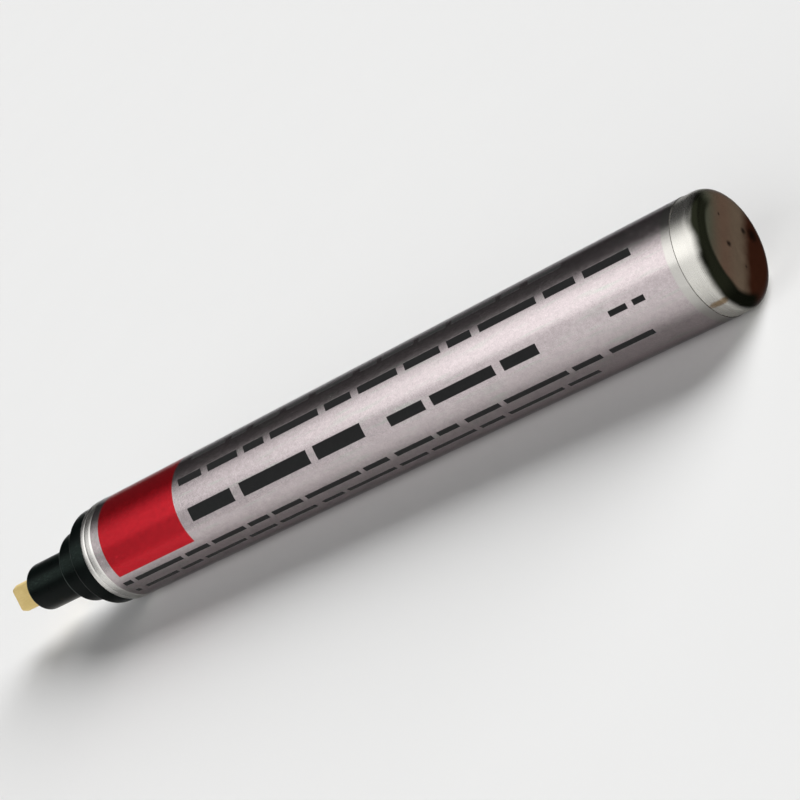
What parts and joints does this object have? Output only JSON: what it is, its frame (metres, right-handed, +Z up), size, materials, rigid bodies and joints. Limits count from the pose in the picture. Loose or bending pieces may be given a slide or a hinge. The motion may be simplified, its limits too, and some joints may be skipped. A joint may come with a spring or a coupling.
{
  "type": "cleaning pen",
  "caption": "Round aluminium pen with a printed film, a stepped black collar and a flat fibre nib that opens a sprung valve when it is pressed.",
  "frame": {"origin": "centre of the barrel's flat rear face", "axes": "+X along the pen towards the nib, +Z up with the pen lying on its side, +Y completes a right-handed frame; the printed side looks 60 degrees from +Z towards +Y"},
  "size_m": [0.1507, 0.017, 0.017],
  "materials": {
    "bare_aluminium": "bright drawn aluminium with fine turning marks",
    "printed_film": "satin film printed in warm silver with a red panel and dark bars",
    "black_moulding": "semi-gloss black moulding",
    "seal_rubber": "matt black rubber",
    "nib_fibre": "bonded cream-yellow fibre",
    "natural_plastic": "uncoloured satin moulding",
    "spring_steel": "drawn stainless wire"
  },
  "bodies": {
    "pen_body": {"barrel": "bare_aluminium", "label_film": "printed_film", "front_collar": "black_moulding", "collar_gasket": "seal_rubber", "nib_sleeve": "black_moulding", "valve_seat": "seal_rubber", "valve_spring": "spring_steel", "spring_cage": "natural_plastic"},
    "nib_body": {"nib": "nib_fibre"},
    "stem_body": {"valve_stem": "natural_plastic"}
  },
  "joints": [
    {"name": "nib_press", "type": "slide", "parent": "pen_body", "child": "nib_body", "axis": [-1, 0, 0], "range_m": [0, 0.0012], "stiffness_N_per_m": 600, "springref_m": -0.002},
    {"name": "stem_press", "type": "slide", "parent": "pen_body", "child": "stem_body", "axis": [-1, 0, 0], "range_m": [0, 0.0012], "deforming": ["valve_spring"]}
  ],
  "couplings": [
    {"joint": "stem_press", "follows": "nib_press", "ratio": 1}
  ]
}
